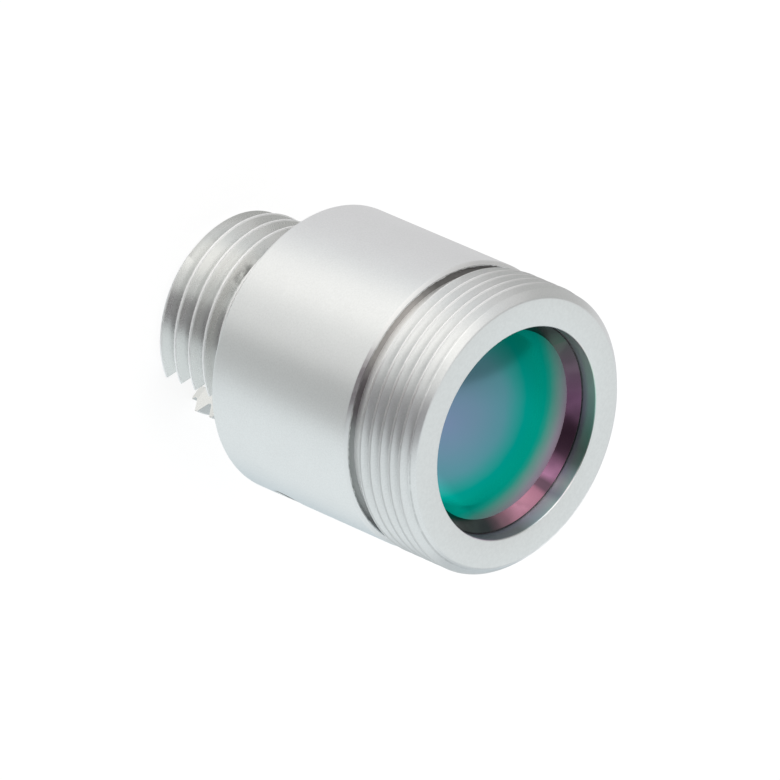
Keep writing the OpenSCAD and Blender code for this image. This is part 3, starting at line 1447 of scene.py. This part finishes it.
class Panel(NamedTuple):
    """A soft upright panel of the surround.

    Its turn counts from the camera's azimuth, and low and high are elevations.
    """

    turn: float
    core: float
    edge: float
    colour: Colour
    low: float = -90.0
    high: float = 90.0
    soft: float = 12.0

    def share(self, shader: Shader, heading: Socket, z: Signal, azimuth: float) -> Signal:
        """Tells how much of the panel lies in a direction.

        Args:
            shader: shader of the world.
            heading: the direction's flat part, as a unit vector.
            z: height of the direction, as a unit vector's part.
            azimuth: azimuth of the camera.

        Returns:
            1 on the panel, 0 away from it.
        """
        middle = (cosine(azimuth + self.turn), sine(azimuth + self.turn), 0.0)
        dot = {"operation": "DOT_PRODUCT"}
        facing = shader.number("ShaderNodeVectorMath", dot, {0: heading, 1: middle}, "Value")
        share = facing.rise(cosine(self.edge), cosine(self.core))
        if self.low > -90:
            share = share * z.rise(sine(self.low - self.soft), sine(self.low + self.soft))
        if self.high < 90:
            share = share * z.rise(sine(self.high + self.soft), sine(self.high - self.soft))
        return share


@dataclass
class Studio:
    """White table, pale surround with soft panels and the photograph's camera."""

    azimuth: float = -71.849
    elevation: float = 39.869
    lean: float = -113.607
    distance: float = 450.0
    target: tuple[float, float, float] = (1.3415, -2.8248, 11.1898)
    focal_length: float = 575.65
    sensor: float = 36.0
    clip: tuple[float, float] = (0.01, 10.0)
    table_half: float = 1.0
    paper: Colour = grey(0.25)
    paper_glow: float = 0.84
    base: Colour = (0.86, 0.89, 0.9)
    panels: tuple[Panel, ...] = (
        Panel(103, 45, 80, (0.9, 0.95, 0.96)),
        Panel(-2, 22, 38, (0.87, 0.875, 0.86)),
        Panel(160, 14, 34, (0.55, 0.64, 0.69), high=-5),
        Panel(146, 10, 22, (0.45, 0.48, 0.5), low=5, high=24),
        Panel(-125, 18, 50, (0.76, 0.75, 0.74), low=-10),
        Panel(-131, 19, 23, (0.55, 0.55, 0.54), low=-10),
        Panel(-143, 7.5, 10, (0.42, 0.43, 0.42), low=28, soft=6),
        Panel(-125, 35, 62, (0.78, 0.77, 0.78), high=-10),
        Panel(-43, 8, 26, (1.16, 1.15, 1.12), high=0),
        Panel(-51, 6, 31, (1.32, 1.3, 1.26), low=0),
        Panel(33, 12, 24, (0.53, 0.545, 0.535), high=-5),
        Panel(24, 14, 29, (0.27, 0.26, 0.27), low=-5),
    )

    def camera(self) -> None:
        """Places the camera: unrolled towards the part, then leaned to the photograph's upright."""
        flat = cosine(self.elevation)
        back = Vector((cosine(self.azimuth) * flat, sine(self.azimuth) * flat, sine(self.elevation)))
        right = Vector((-sine(self.azimuth), cosine(self.azimuth), 0.0))
        up = back.cross(right)
        leaned_up = up * cosine(self.lean) + right * sine(self.lean)
        leaned_right = right * cosine(self.lean) - up * sine(self.lean)
        data = bpy.data.cameras.new("camera")
        data.lens = self.focal_length
        data.sensor_width = self.sensor
        data.clip_start, data.clip_end = self.clip
        made = bpy.data.objects.new("camera", data)
        bpy.context.scene.collection.objects.link(made)
        turn = Matrix((leaned_right, leaned_up, back)).transposed().to_4x4()
        place = (Vector(self.target) + back * self.distance) * MM
        made.matrix_world = Matrix.Translation(place) @ turn
        bpy.context.scene.camera = made

    def surround(self) -> None:
        """Builds the world: white to the camera, panels on a pale ground for everything else."""
        world = bpy.data.worlds.new("surround")
        bpy.context.scene.world = world
        shader = Shader(world)
        ray = shader.node("ShaderNodeTexCoord").outputs["Generated"]
        x, y, z = shader.split(ray)
        level = {0: shader.join(x, y, 0.0)}
        heading = shader.node("ShaderNodeVectorMath", {"operation": "NORMALIZE"}, level).outputs[0]
        colour: Colour | Socket = self.base
        for panel in self.panels:
            colour = shader.blend(panel.share(shader, heading, z, self.azimuth), colour, panel.colour)
        seen = shader.number("ShaderNodeLightPath", None, None, "Is Camera Ray")
        shown = shader.blend(seen, colour, grey(1.0))
        shader.surface(shader.node("ShaderNodeBackground", None, {"Color": shown, "Strength": 1.0}))

    def table(self) -> None:
        """Lays the white table, which keeps a faint shadow and is clear from below."""
        bm = bmesh.new()
        bmesh.ops.create_grid(bm, x_segments=1, y_segments=1, size=self.table_half)
        made = put_in_scene(bm, "table")
        paper = bpy.data.materials.new("white_table")
        shader = Shader(paper)
        matt = shader.node("ShaderNodeBsdfDiffuse", None, {"Color": self.paper})
        glow = {"Color": grey(1.0), "Strength": self.paper_glow}
        lamp = shader.node("ShaderNodeEmission", None, glow)
        lit = shader.node("ShaderNodeAddShader", None, {0: matt.outputs[0], 1: lamp.outputs[0]})
        clear = shader.node("ShaderNodeBsdfTransparent")
        below = shader.number("ShaderNodeNewGeometry", None, None, "Backfacing")
        sides = {0: below, 1: lit.outputs[0], 2: clear.outputs[0]}
        shader.surface(shader.node("ShaderNodeMixShader", None, sides))
        made.data.materials.append(paper)
        made.visible_glossy = False
        made.visible_diffuse = False
        made.visible_transmission = False
        made.visible_shadow = False

    def build(self) -> None:
        """Builds the whole studio."""
        self.camera()
        self.surround()
        self.table()


def corners(bounds: tuple[Vector, Vector]) -> list[list[float]]:
    """Returns the two corners of a box as plain lists."""
    return [list(bounds[0]), list(bounds[1])]


def main() -> None:
    """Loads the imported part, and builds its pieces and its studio."""
    logging.basicConfig(level=logging.INFO, format="%(name)s: %(message)s")
    for leftover in list(bpy.data.objects):
        bpy.data.objects.remove(leftover)
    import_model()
    bpy.context.scene.view_settings.view_transform = "Standard"
    Studio().build()
    barrel = Barrel()
    barrel.build(barrel.materials())
    receptacle = Receptacle()
    steel = receptacle.materials()
    receptacle.build(steel)
    epoxy = CuredEpoxy("cured_epoxy").material()
    cell = LensCell()
    cell.lens([CoatedDome("lens_dome").material(), CoatedRim("lens_rim").material()])
    cell.adhesive(epoxy)
    GluePort().build(epoxy)
    seat = FerruleSeat()
    seat.sleeve(GroundCeramic("ground_ceramic").material())
    seat.stop(steel)


if __name__ == "__main__":
    main()
